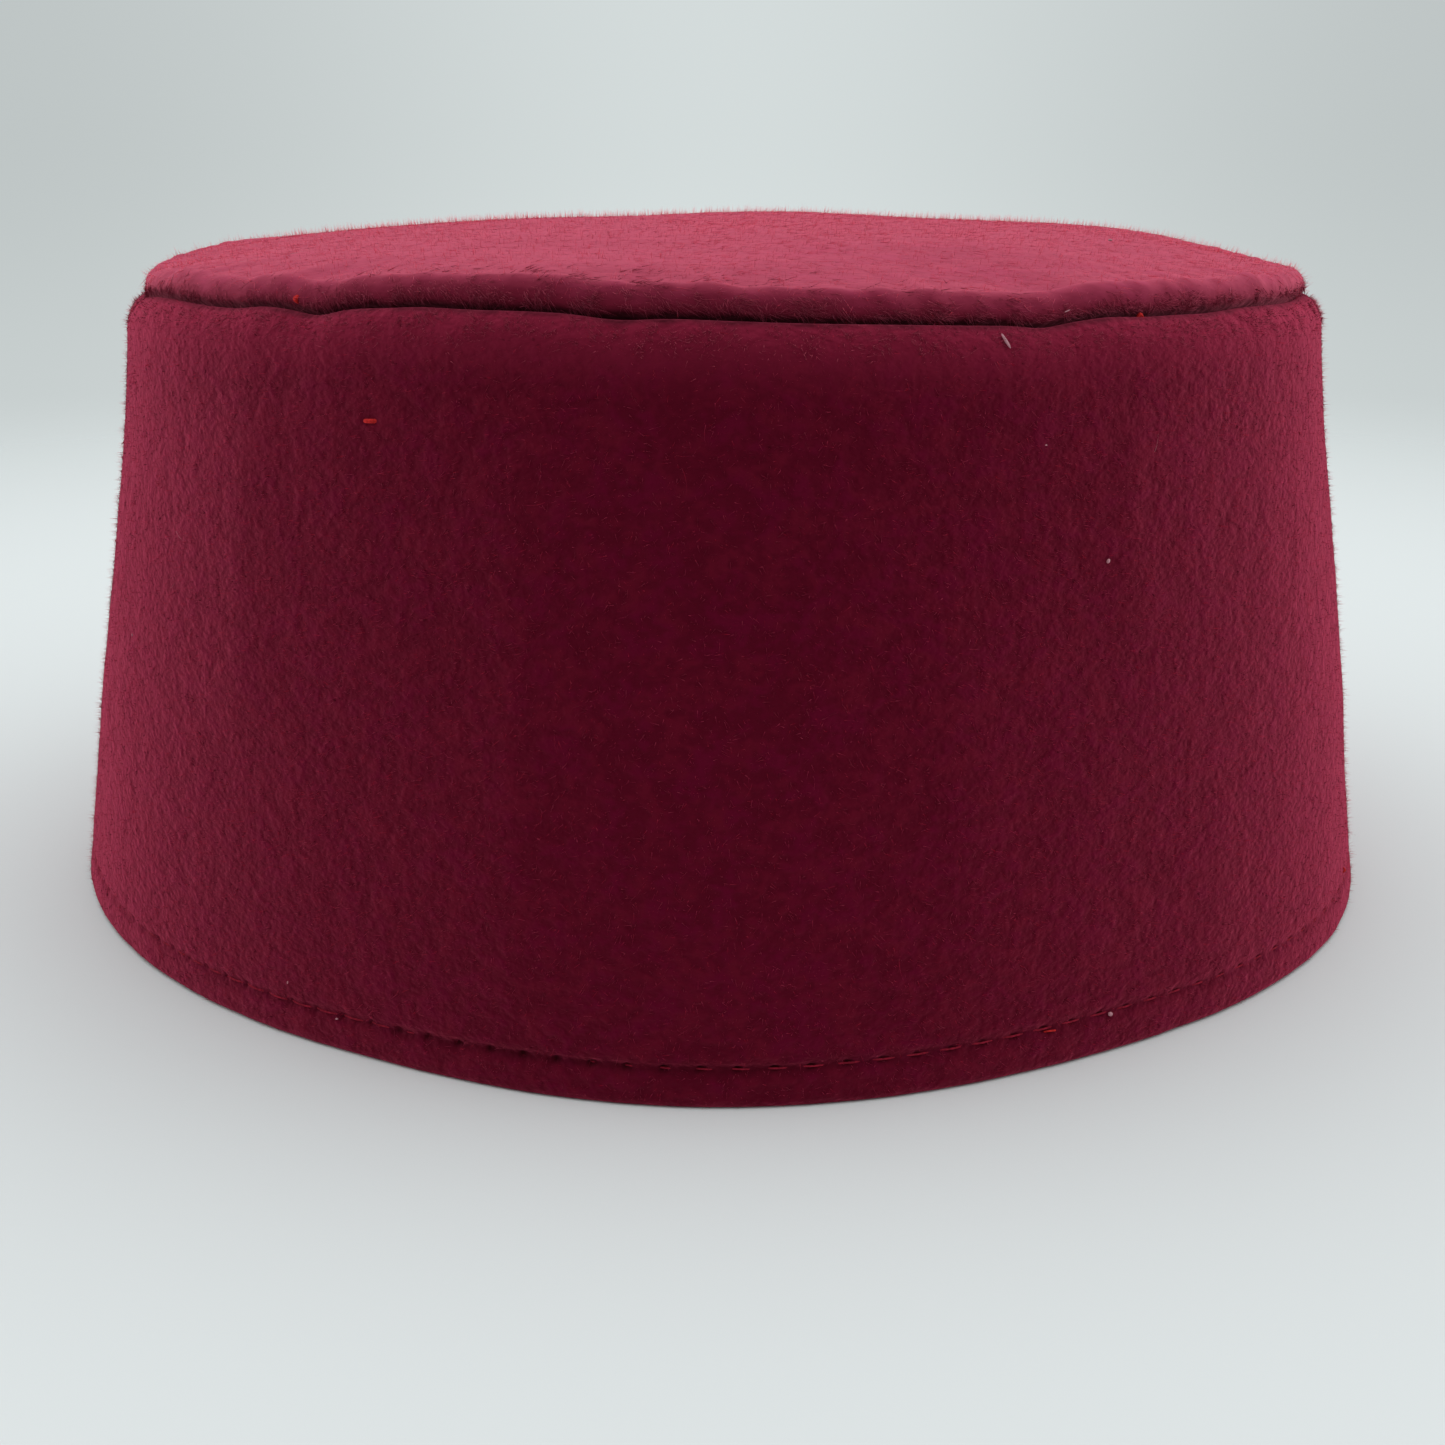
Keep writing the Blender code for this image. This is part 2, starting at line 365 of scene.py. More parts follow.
def crown_section():
    rim_end = pi / 2 + DOME_SLOPE
    rim_tuck = RIM_START - pi
    past_lip = LIP_RADIUS + SEAM_GAP

    rim = arc(RIM_INSET, RIM_HEIGHT, RIM_RADIUS, rim_end, rim_tuck, 2 * ARC_STEPS)
    neck = arc(LIP_INSET, LIP_HEIGHT, past_lip, RIM_START, pi, ARC_STEPS // 2)
    turned = [(LIP_INSET + past_lip, TURNED_END), (LIP_INSET + past_lip + FELT, TURNED_END)]
    inner_neck = arc(LIP_INSET, LIP_HEIGHT, past_lip + FELT, pi, RIM_START, ARC_STEPS // 2)
    inner_rim = arc(RIM_INSET, RIM_HEIGHT, RIM_EASE, rim_tuck, rim_end, ARC_STEPS // 2)
    top = dome(rim[0], DOME_ROWS)
    under = dome(inner_rim[-1], UNDER_ROWS)
    return top[::-1] + rim + neck[1:] + turned + inner_neck + inner_rim[1:] + under


def wall_radius(height):
    up = min(max(height / SEAM_HEIGHT, 0), 1)
    power = HOLLOW_PLACE / (1 - HOLLOW_PLACE)
    drawn_in = up**power * (1 - up) / (HOLLOW_PLACE**power * (1 - HOLLOW_PLACE))
    return BASE_RADIUS + (TOP_RADIUS - BASE_RADIUS) * up - WALL_HOLLOW * drawn_in


band_rows = band_section()
crown_rows = crown_section()
print(f"sections: {len(band_rows)} points for the band, {len(crown_rows)} for the crown")

# %% [markdown]
# Nothing sewn by hand is truly round. Two tables, read smoothly by angle, ease both pieces out of true
# together, exactly as they do in the solids: one for the plan of the hem and of the seam, one for the
# rise and fall of the seam. Angle 0 is to the right and 270 degrees is the front.

# %% Ease the round out of true
BASE = 1
TOP = 2
LIFT = 1

PLAN = (
    # angle, base, top
    (0, 1.000, 0.995),
    (30, 0.990, 0.985),
    (60, 0.985, 1.000),
    (90, 0.985, 1.005),
    (120, 0.995, 1.000),
    (150, 1.015, 0.990),
    (180, 1.035, 1.000),
    (210, 1.010, 1.005),
    (240, 0.995, 1.000),
    (270, 1.020, 1.000),
    (300, 0.995, 1.000),
    (330, 1.010, 1.005),
)
WAVES = (
    # angle, lift
    (0, -1.6),
    (15, -0.5),
    (30, 0.3),
    (45, 0.4),
    (60, 0.1),
    (75, -0.3),
    (90, -0.2),
    (105, 0.0),
    (120, 0.2),
    (135, 0.1),
    (150, 0.0),
    (165, 0.2),
    (180, -0.5),
    (195, -1.2),
    (210, 0.0),
    (225, 0.0),
    (240, 1.0),
    (255, 1.3),
    (270, 0.5),
    (285, -0.5),
    (300, -0.7),
    (315, -0.3),
    (330, -0.8),
    (345, -1.3),
)


def read_round(rows, column, angle):
    """A smooth value read by angle from a table whose rows are equally spaced."""
    place = angle / (2 * pi) * len(rows)
    row = floor(place)
    u = place - row
    before, here, after, beyond = [rows[(row + k) % len(rows)][column] for k in (-1, 0, 1, 2)]
    slope = (after - before) / 2
    next_slope = (beyond - here) / 2
    bend = 3 * (after - here) - 2 * slope - next_slope
    twist = 2 * (here - after) + slope + next_slope
    return here + u * (slope + u * (bend + u * twist))


def climb(share):
    """A smooth step from 0 to 1."""
    u = min(max(share, 0), 1)
    return u * u * (3 - 2 * u)


def eased(x, y, z):
    seam_radius = TOP_RADIUS - LIP_INSET
    angle = atan2(y, x)
    up = min(z / SEAM_HEIGHT, 1)
    base = read_round(PLAN, BASE, angle)
    share = base + (read_round(PLAN, TOP, angle) - base) * up
    wave = SEAM_WAVE * read_round(WAVES, LIFT, angle)
    near = climb((up - 1) / WAVE_REACH + 1) * climb((hypot(x, y) / seam_radius - 1) / WAVE_REACH + 1)
    tilt = -BACK_DROP * y / (2 * seam_radius) * up
    return x * share, y * share, z + tilt + wave * near


print(f"front of the hem at Y = {1000 * eased(0, -BASE_RADIUS, 0)[1]:.1f} mm")

# %% [markdown]
# ## Soft relief
#
# Pressed felt keeps a memory of how it was handled. The wall has a few upright folds, less than a
# millimetre high, that catch the light as soft stripes. Smaller lumps come from the felting itself, and
# the seam wanders up and down where the two edges were eased together under the needle.
#
# Noise on its own gives lumps but no folds, so the folds and the seam's dips are two short tables.

# %% Folds and lumps
FOLD_OUT = 0.0007  # how far a fold of 1 stands out
FOLD_REACH = 0.0080  # to each side
FOLD_EDGE = 0.2  # roundness of its ridge, as a share of its reach

FOLDS = (
    # angle, out, low, high: the last two as shares of the height of the seam
    (229, 0.9, 0.35, 0.95),
    (255, 1.0, 0.05, 0.90),
    (287, 0.8, 0.05, 0.75),
    (303, 0.7, 0.50, 0.95),
    (311, 0.5, -0.10, 0.35),
    (340, 0.6, 0.20, 0.80),
    (25, 0.8, 0.10, 0.85),
    (62, 0.6, 0.40, 0.95),
    (98, 0.9, 0.05, 0.80),
    (139, 0.7, 0.30, 0.90),
    (171, 0.8, 0.05, 0.70),
    (203, 0.5, 0.20, 0.80),
)
FOLD_ENDS = 0.15  # how fast a fold fades at its ends, as a share of the height

LUMPS = (
    # size, height
    (0.0260, 0.00025),
    (0.0080, 0.00010),
    (0.0030, 0.00006),
)
SEAM_DIPS = (
    # angle, drop in mm, reach in degrees: where the seam wanders by a stitch or two
    (20.0, 0.40, 3.0),
    (74.0, -0.30, 4.0),
    (128.0, 0.50, 3.0),
    (165.0, -0.30, 5.0),
    (198.0, 0.40, 3.0),
    (229.0, -0.30, 2.5),
    (235.8, 0.75, 2.6),
    (246.0, -0.20, 3.0),
    (262.0, 0.45, 3.0),
    (284.0, -0.30, 8.0),
    (295.6, 0.35, 2.0),
    (302.0, -0.45, 3.5),
    (314.0, 0.30, 4.0),
    (338.0, -0.30, 4.0),
)
DIP_DEPTH = 0.0060  # how far below the seam a dip is still felt


def fold_out(angle, height):
    """How far the wall's upright folds stand out at a place."""
    up = height / SEAM_HEIGHT
    out = 0
    for fold_angle, share, low, high in FOLDS:
        aside = (angle - radians(fold_angle) + pi) % (2 * pi) - pi
        across = aside * TOP_RADIUS / FOLD_REACH
        ridge = exp(FOLD_EDGE - hypot(across, FOLD_EDGE))
        ends = climb((up - low) / FOLD_ENDS) * climb((high - up) / FOLD_ENDS)
        out += FOLD_OUT * share * ridge * ends
    return out


def lump_out(place):
    return sum(height * noise.noise(place / size) for size, height in LUMPS)


def seam_dip(angle, height):
    """How far the seam sinks at an angle. The felt above goes with it, and the wall below less and less."""
    drop = 0
    for dip_angle, depth, reach in SEAM_DIPS:
        aside = (angle - radians(dip_angle) + pi) % (2 * pi) - pi
        drop += MM * depth * exp(-((aside / radians(reach)) ** 2))
    return drop * climb(1 + (height - SHOULDER_HEIGHT) / DIP_DEPTH)


print(f"highest fold {1000 * max(fold_out(radians(a), SEAM_HEIGHT / 2) for a in range(360)):.2f} mm")

# %% [markdown]
# The topstitching pulls the two layers of the hem together, so it lies in a shallow trough, and the
# needle leaves a pit at each stitch. Both are real dents in the mesh, which go dark by themselves, and
# the felt in them is painted darker as well, as painted shade.

# %% The stitched hem
STITCHES = 144
STITCH_HEIGHT = 0.0045
STITCH_START = radians(1.0)  # the first needle hole
TROUGH_DEPTH = 0.00035
TROUGH_HALF = 0.0007
PIT_DEPTH = 0.0004
PIT_HALF = 0.00034
CROWDING = 0.45  # how strongly the columns gather at the needle holes

SEWING = (
    # angle, height, depth, thread: the height of the stitch line and the depth of its trough against the
    # usual, and how far in mm the thread stands above its usual place
    (0, 1.02, 0.9, 0.00),
    (15, 1.01, 1.0, -0.08),
    (30, 1.00, 1.0, -0.12),
    (45, 0.99, 1.0, 0.00),
    (60, 0.98, 1.1, 0.06),
    (75, 1.00, 1.0, 0.00),
    (90, 1.02, 0.9, -0.10),
    (105, 1.03, 1.0, -0.05),
    (120, 1.04, 1.0, 0.04),
    (135, 1.02, 1.1, 0.06),
    (150, 1.00, 1.1, 0.00),
    (165, 0.98, 1.0, -0.10),
    (180, 0.97, 0.9, -0.06),
    (195, 0.98, 0.8, 0.00),
    (210, 0.99, 0.7, -0.12),
    (225, 0.98, 0.8, -0.02),
    (240, 0.98, 1.0, 0.10),
    (255, 0.99, 1.5, -0.22),
    (270, 1.00, 1.4, -0.08),
    (285, 1.05, 1.1, 0.03),
    (300, 1.12, 1.0, 0.00),
    (315, 1.10, 0.8, -0.10),
    (330, 1.05, 0.7, -0.10),
    (345, 1.03, 0.8, -0.04),
)
HEIGHT = 1
DEPTH = 2
PROUD = 3


def stitch_line(angle):
    return STITCH_HEIGHT * read_round(SEWING, HEIGHT, angle)


def hem_dent(angle, height):
    """Depth of the trough, and of the needle's pit, at a place on the outside of the hem."""
    above = height - stitch_line(angle)
    pull = read_round(SEWING, DEPTH, angle)
    trough = TROUGH_DEPTH * pull * exp(-((above / TROUGH_HALF) ** 2))
    pitch = 2 * pi / STITCHES
    aside = (angle - STITCH_START + pitch / 2) % pitch - pitch / 2
    off = hypot(aside * BASE_RADIUS, above) / PIT_HALF
    return trough, PIT_DEPTH * pull * exp(-(off**2))


print(f"a stitch is {1000 * 2 * pi * BASE_RADIUS / STITCHES:.2f} mm long")

# %% [markdown]
# ## The side band
#
# One turn of the section makes the band, with its hem and its turned edge in one closed mesh. The mesh is
# dented while it is still round, when its angle and height are easy to read, and is eased out of true
# last. Three attributes go with it for the finish: how hard thread or seam press the felt, which also
# paints shade into the groove and the needle holes; how far it turns over the edge, where its nap lies
# differently and which also paints light onto the shoulder; and whether a place is on the outside.
#
# A spin looks through the whole mesh at each step, so a full turn of hundreds of steps is slow. A slim
# wedge is spun instead, and doubled by copying and turning it until it closes the round.

# %% Turn the felt sections
DOUBLINGS = 5
BAND_COLUMNS = 6 * STITCHES
CROWN_COLUMNS = 576
WELD = 1e-6


def spin(bm, parts, axis, angle, steps):
    turn = {"cent": (0, 0, 0), "axis": axis, "angle": angle, "steps": steps, "use_merge": False}
    bmesh.ops.spin(bm, geom=parts, **turn)


def turned(section, closed, columns):
    """A bmesh of a section turned once about the Z axis."""
    bm = bmesh.new()
    verts = [bm.verts.new((max(wall_radius(z) - inset, 0), 0, z)) for inset, z in section]
    edges = [bm.edges.new(pair) for pair in zip(verts, verts[1:])]
    if closed:
        edges.append(bm.edges.new((verts[-1], verts[0])))
    wedge = 2 * pi / 2**DOUBLINGS
    spin(bm, verts + edges, (0, 0, 1), wedge, columns // 2**DOUBLINGS)
    for doubling in range(DOUBLINGS):
        copied = bmesh.ops.duplicate(bm, geom=bm.verts[:] + bm.edges[:] + bm.faces[:])["geom"]
        copied_verts = [part for part in copied if isinstance(part, bmesh.types.BMVert)]
        turn = Matrix.Rotation(wedge * 2**doubling, 3, "Z")
        bmesh.ops.rotate(bm, cent=(0, 0, 0), matrix=turn, verts=copied_verts)
    bmesh.ops.remove_doubles(bm, verts=bm.verts, dist=WELD)
    bmesh.ops.recalc_face_normals(bm, faces=bm.faces)
    return bm


def as_piece(bm, name):
    """Makes a bmesh an object, shaded smooth."""
    mesh = bpy.data.meshes.new(name)
    bm.to_mesh(mesh)
    bm.free()
    mesh.shade_smooth()
    piece = bpy.data.objects.new(name, mesh)
    scene.collection.objects.link(piece)
    print(f"{name}: {sum(len(p.vertices) - 2 for p in mesh.polygons)} triangles")
    return piece


band_bm = turned(band_rows, True, BAND_COLUMNS)
crown_bm = turned(crown_rows, False, CROWN_COLUMNS)
print(f"turned {len(band_bm.verts)} and {len(crown_bm.verts)} points")


# %% Shape the band
# The first layer also sets painted shade, the second painted light on the band's shoulder and painted shade
# on the crown's roll.
LAYERS = ("pressed_and_shaded", "turned", "outside")
NAP_HEIGHT = 0.00025  # the felt lies this far below the solid's face, which is where its nap ends
TURN_LOW = 0.0770  # from here the shoulder has painted light, and its nap lies differently
TURN_HIGH = 0.0840  # to here
GROOVE_SIZE = 0.0025  # of the tufts that hang into the seam
GROOVE_RAGGED = 0.0006
GROOVE_START = 0.55  # the felt's painted shade starts here, as a share of the way in to the seam
GROOVE_WIDTH = 0.35  # and is darkest this much further in
# These two also set how dark the trough and the pits are painted, as painted shade.
TROUGH_PRESS = 0.3  # how hard the thread presses the felt down, where the seam's press is 1
PIT_PRESS = 0.6


def ragged(angle):
    """How far the tufts along the seam hang into it at an angle."""
    return GROOVE_RAGGED * noise.noise(Vector((cos(angle), sin(angle), 0)) * TOP_RADIUS / GROOVE_SIZE)


def shape_band(bm):
    pressed_and_shaded, turned_edge_shading, outside = [bm.verts.layers.float.new(layer) for layer in LAYERS]
    for vert in bm.verts:
        x, y, z = vert.co
        radius = hypot(x, y)
        inset = wall_radius(z) - radius
        angle = atan2(y, x)
        angle -= CROWDING * sin(STITCHES * (angle - STITCH_START)) / STITCHES
        round_place = Vector((radius * cos(angle), radius * sin(angle), z))

        sewn = climb((LIP_INSET - inset) / LIP_INSET)  # 0 in the seam, 1 on the wall
        deep = climb(((inset + ragged(angle)) / LIP_INSET - GROOVE_START) / GROOVE_WIDTH)
        worn = 1.0 if inset < FELT / 2 or z > LIP_HEIGHT else 0.0
        trough, pit = hem_dent(angle, z)
        out = fold_out(angle, z) * sewn + lump_out(round_place) * sewn
        if worn:
            out -= trough + pit + NAP_HEIGHT * sewn
        vert[outside] = worn
        # The turned edge: the shoulder gets painted light, as if lit from above, and nap of its own.
        vert[turned_edge_shading] = worn * climb((z - TURN_LOW) / (TURN_HIGH - TURN_LOW))
        # The trough and the pit keep the nap off and are painted darker, as painted shade.
        sewn_down = TROUGH_PRESS * trough / TROUGH_DEPTH + PIT_PRESS * pit / PIT_DEPTH
        vert[pressed_and_shaded] = min(sewn_down + deep, 1)
        radius += out
        vert.co = eased(radius * cos(angle), radius * sin(angle), z - seam_dip(angle, z))


shape_band(band_bm)
side_felt = as_piece(band_bm, "side_felt")

# %% [markdown]
# ## The crown
#
# The crown is turned the same way from an open section that runs from middle to middle, over the rolled
# rim and back underneath. Its rim is gathered a little by the seam, which puckers it, and its flat
# carries broad shallow dents.

# %% Shape the crown
PUCKER_SIZE = 0.0035
PUCKER_HEIGHT = 0.00035
PUCKER_REACH = 0.14  # share of the radius over which the puckers fade
DENT_SIZE = 0.034
DENT_HEIGHT = 0.0006
ROLL_LOW = 0.0854  # the rolled rim has painted shade, and its nap lies differently, from here
ROLL_HIGH = 0.0891  # to here at the back
ROLL_MORE = 0.0027  # and this much higher at the front, where the painted shade reaches further up
ROLL_FRONT = radians(262)
ROLL_FADE = 6  # the larger, the sooner that fades to the sides
ROLL_TUFTS = 0.0022  # size of the tufts at that change
ROLL_RAGGED = 0.0016
TUCK_HEIGHT = LIP_HEIGHT + 2 * FELT  # the relief fades from here down, over one more felt
NECK_HEIGHT = LIP_HEIGHT + 1.5 * FELT  # the felt is painted darker from here down, as painted shade in the groove
NECK_FADE = 0.6 * FELT  # and is darkest this far below


def shape_crown(bm):
    pressed_and_shaded, turned_edge_shading, outside = [bm.verts.layers.float.new(layer) for layer in LAYERS]
    for vert in bm.verts:
        x, y, z = vert.co
        radius = hypot(x, y)
        angle = atan2(y, x)
        share = radius / (TOP_RADIUS - RIM_INSET)
        rim = climb((share - 1) / PUCKER_REACH + 1)  # 0 on the flat, 1 at the rim
        tucked = climb((TUCK_HEIGHT - z) / FELT)  # 1 below the roll of the rim

        pucker_place = Vector((cos(angle), sin(angle), 0)) * (TOP_RADIUS / PUCKER_SIZE)
        pucker = PUCKER_HEIGHT * noise.noise(pucker_place) * rim
        dent = DENT_HEIGHT * noise.noise(vert.co / DENT_SIZE) * climb((1 - share) / PUCKER_REACH)
        worn = 1.0 if vert.normal.z > 0 or share > 1 else 0.0
        lift = (lump_out(vert.co) + pucker + dent - worn * NAP_HEIGHT) * (1 - tucked)
        vert[outside] = worn
        more = ROLL_MORE * max(cos(angle - ROLL_FRONT), 0) ** ROLL_FADE
        high = ROLL_HIGH + more + ROLL_RAGGED * noise.noise(vert.co / ROLL_TUFTS)
        # The rolled rim gets painted shade, reaching higher at the front, and nap of its own.
        vert[turned_edge_shading] = worn * climb((high - z) / (high - ROLL_LOW))
        # Below the roll of the rim the felt is painted darker, as painted shade in the seam's groove.
        vert[pressed_and_shaded] = climb((NECK_HEIGHT - z + ragged(angle)) / NECK_FADE)
        vert.co = eased(x, y, z + lift - seam_dip(angle, z) * rim)


crown_bm.normal_update()
shape_crown(crown_bm)
crown_felt = as_piece(crown_bm, "crown_felt")

# %% [markdown]
# The band is a little wider on one side of the axis than on the other once it is out of true. In the
# solids both pieces were moved back together until the band's box was centred, and so they are here.


# %% Centre both pieces and compare them with the solids
def centre_on_axis(widest, *others):
    corners = [Vector(corner) for corner in widest.bound_box]
    middle = sum(corners, Vector()) / len(corners)
    aside = Matrix.Translation((-middle.x, -middle.y, 0))
    for piece in (widest, *others):
        piece.data.transform(aside)


centre_on_axis(side_felt, crown_felt)
for piece, node in ((side_felt, "side_band"), (crown_felt, "crown_top")):
    corners = np.array(piece.bound_box)
    here = (corners.min(axis=0), corners.max(axis=0))
    apart = [1000 * (a - b) for mine, solid in zip(here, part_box(node)) for a, b in zip(mine, solid)]
    print(f"{piece.name} less its solid, mm:", " ".join(f"{x:.2f}" for x in apart))

# %% [markdown]
# ## The finish of the felt
#
# Wool felt is matt and softly mottled: short fibres lie in all directions, some lighter, some darker,
# some more purple and some more brown. At a glancing angle the nap catches the light and the felt looks
# paler and pinker, which is what sheen is for. Several sizes of noise give the mottling, and the same
# noise feeds a gentle Bump node so that light and colour agree.
#
# The crown was brushed sideways, so its grain is stretched that way. The band's is stretched a little
# round the cap. The crown's colours are much lighter than the band's, though both are the same felt: they
# carry painted light from overhead and painted sheen.

# %% Felt finish
CLOUD_SIZE = 0.0048
TUFT_SIZE = 0.0024
FLECK_SIZE = 0.0011
FIBRE_SIZE = 0.0005
HUE_SIZE = 0.0035
NOISE_MIDDLE = 0.5
NOISE_SPAN = (0.40, 0.60)  # the part of the noise that the colours are spread over
TONE_SHARES = (0.05, 0.50, 0.45)  # of clouds, tufts and flecks
RELIEF_SHARES = (0.45, 0.35, 0.20)  # of tufts, flecks and fibres
BUMP_HEIGHT = 0.0007
EDGE_POWER = 3  # keeps the turned edge's own looks off the change to the flat
# Painted shade: the near black that the felt goes to in the seam's groove and the needle holes
PAINTED_GROOVE_SHADE = (0.010, 0.0001, 0.0010)
GROOVE_SHARE = 0.95  # of that painted shade, where thread and seam press the felt hardest


def mixed(shares, noises):
    first, second, third = [share * noise for share, noise in zip(shares, noises)]
    return first + second + third


def felt_finish(
    name, dark, wine, russet, edge, lie, bumps, more_at_edge, sheen, sheen_roughness, sheen_tint
):
    """Felt from dark to a light shade that wanders between a purplish and a brownish red."""
    finish, start = new_finish(name)
    place = start.node("ShaderNodeTexCoord", {}, {}, "Object")
    pressed_and_shaded = start.node("ShaderNodeAttribute", {"attribute_name": "pressed_and_shaded"}, {}, "Fac")
    turned_edge_shading = start.node("ShaderNodeAttribute", {"attribute_name": "turned"}, {}, "Fac")
    laid = place.stretched(lie)

    clouds = laid.grain(CLOUD_SIZE)
    tufts = laid.grain(TUFT_SIZE, distortion=0.6)
    flecks = laid.grain(FLECK_SIZE, detail=1.0)
    fibres = laid.grain(FIBRE_SIZE, detail=1.0)

    tone = mixed(TONE_SHARES, (clouds, tufts, flecks))
    light = laid.grain(HUE_SIZE).ramp(*NOISE_SPAN).blend((*wine, 1), (*russet, 1))
    mottled = tone.ramp(*NOISE_SPAN).blend((*dark, 1), light)
    # The turned edge's colour: painted light on the band's shoulder, painted shade on the crown's roll.
    with_edge_shading = turned_edge_shading.blend(mottled, (*edge, 1))
    # Painted shade in the seam's groove and the needle holes, darkest where thread and seam press hardest.
    shade = (pressed_and_shaded * GROOVE_SHARE).blend(with_edge_shading, (*PAINTED_GROOVE_SHADE, 1))

    bumpier = 1 + more_at_edge * turned_edge_shading**EDGE_POWER
    relief = (mixed(RELIEF_SHARES, (tufts, flecks, fibres)) - NOISE_MIDDLE) * bumpier
    heights = {"Strength": bumps, "Distance": BUMP_HEIGHT, "Height": relief}
    start.surface(
        {
            "Base Color": shade,
            "Roughness": 0.95,
            "Specular IOR Level": 0.02,
            "Sheen Weight": sheen,
            "Sheen Roughness": sheen_roughness,
            "Sheen Tint": (*sheen_tint, 1),
            "Normal": start.node("ShaderNodeBump", {}, heights),
        }
    )
    print(f"{name}: {len(finish.node_tree.nodes)} nodes")
    return finish


BAND_SHEEN = (1.0, 0.12, 0.23)
CROWN_SHEEN = (1.0, 0.19, 0.29)
band_finish = felt_finish(
    "burgundy_felt",
    dark=(0.074, 0.0002, 0.0078),
    wine=(0.098, 0.0002, 0.0140),
    russet=(0.103, 0.0016, 0.0115),
    # the shoulder's colour, lighter as painted light from above
    edge=(0.175, 0.0070, 0.0260),
    lie=(0.8, 0.5, 1),
    bumps=1.0,
    more_at_edge=0.0,
    sheen=0.72,
    sheen_roughness=0.54,
    sheen_tint=BAND_SHEEN,
)
# The same felt as the band, painted lighter: painted light from overhead and painted sheen.
crown_finish = felt_finish(
    "brushed_felt",
    dark=(0.255, 0.023, 0.056),
    wine=(0.328, 0.031, 0.079),
    russet=(0.332, 0.037, 0.076),
    # the roll's colour, darker as painted shade
    edge=(0.165, 0.0085, 0.0260),
    lie=(0.45, 0.7, 1),
    bumps=0.2,
    more_at_edge=4.0,
    sheen=1.0,
    sheen_roughness=0.45,
    sheen_tint=CROWN_SHEEN,
)
side_felt.data.materials.append(band_finish)
crown_felt.data.materials.append(crown_finish)

# %% [markdown]
# ## Many copies of one small thing
#
# Stitches and hairs are repeated by the thousand. An object for each would choke Blender, so one pattern
# is modelled with mesh operators, and its points are copied in one array sum: each copy has a place and a
# frame of three axes, whose lengths set its length and thickness. All the copies become one joined mesh.


# %% Copy a pattern many times
def pattern_arrays(bm):
    """The points and triangles of a pattern, as arrays."""
    bmesh.ops.triangulate(bm, faces=bm.faces)
    bm.verts.index_update()
    points = np.array([vert.co[:] for vert in bm.verts])
    triangles = np.array([[vert.index for vert in face.verts] for face in bm.faces])
    bm.free()
    return points, triangles


def unit(vectors):
    return vectors / np.linalg.norm(vectors, axis=-1, keepdims=True)


def lay_copies(name, pattern, places, frames, finish):
    """One mesh of a pattern copied to every place, with its X, Y and Z along the rows of each frame."""
    points, triangles = pattern
    verts = places[:, None, :] + points @ frames
    firsts = np.arange(len(places))[:, None, None] * len(points)
    mesh = bpy.data.meshes.new(name)
    mesh.from_pydata(verts.reshape(-1, 3), [], (firsts + triangles).reshape(-1, 3))
    mesh.shade_smooth()
    mesh.materials.append(finish)
    piece = bpy.data.objects.new(name, mesh)
    scene.collection.objects.link(piece)
    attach(piece, "root")
    print(f"{name}: {len(places)} copies, {len(mesh.polygons)} triangles")


# %% [markdown]
# ## The topstitching
#
# A sewing machine's lockstitch shows as a row of short runs of thread, each diving into a needle hole at
# both ends. One run is a ring of thread spun through a shallow arc. It is copied round the hem, once
# outside and once inside, and each copy is set on the felt by a ray cast at the wall, so it follows every
# fold.

# %% One stitch
THREAD = 0.00026  # thickness
THREAD_SIDES = 6
STITCH_STEPS = 6
STITCH_SHARE = 0.90  # of the pitch
STITCH_RISE = 0.00042  # its middle above its ends
STITCH_PROUD = 0.00006  # how far its middle usually stands out of the trough


def stitch_pattern(length):
    """A run of thread along X that bows up towards Z, its top at the origin."""
    half = length / 2
    bend = (half**2 + STITCH_RISE**2) / (2 * STITCH_RISE)
    reach = asin(half / bend)
    bm = bmesh.new()
    bmesh.ops.create_circle(bm, cap_ends=True, segments=THREAD_SIDES, radius=THREAD / 2)
    bmesh.ops.rotate(bm, cent=(0, 0, 0), matrix=Matrix.Rotation(pi / 2, 3, "Y"), verts=bm.verts)
    bmesh.ops.translate(bm, vec=(0, 0, bend), verts=bm.verts)
    bmesh.ops.rotate(bm, cent=(0, 0, 0), matrix=Matrix.Rotation(-reach, 3, "Y"), verts=bm.verts)
    spin(bm, bm.verts[:] + bm.edges[:] + bm.faces[:], (0, 1, 0), 2 * reach, STITCH_STEPS)
    bmesh.ops.translate(bm, vec=(0, 0, -bend), verts=bm.verts)
    bmesh.ops.recalc_face_normals(bm, faces=bm.faces)
    open_edges = sum(len(edge.link_faces) != 2 for edge in bm.edges)
    print(f"stitch: {len(bm.faces)} faces, {open_edges} open edges")
    return pattern_arrays(bm)


stitch = stitch_pattern(STITCH_SHARE * 2 * pi * BASE_RADIUS / STITCHES)

# %% [markdown]
# The thread is a bright red, a shade more orange than the felt, so it shows as a fine line where it lies
# clear of the nap. Fine noise, lighter and darker, stands for the twist of its two plies.

# %% Thread finish
TWIST_SIZE = 0.0004
TWIST_SPAN = (0.3, 0.7)  # the part of the noise that goes from dark to light
TWIST_DARK = 0.6  # how bright the dark is, against the thread's own colour


def thread_finish(name, colour):
    finish, start = new_finish(name)
    place = start.node("ShaderNodeTexCoord", {}, {}, "Object")
    twist = place.grain(TWIST_SIZE, roughness=0.6)
    dark = tuple(TWIST_DARK * c for c in colour)
    shade = twist.ramp(*TWIST_SPAN).blend((*dark, 1), (*colour, 1))
    start.surface({"Base Color": shade, "Roughness": 0.7, "Specular IOR Level": 0.05})
    return finish


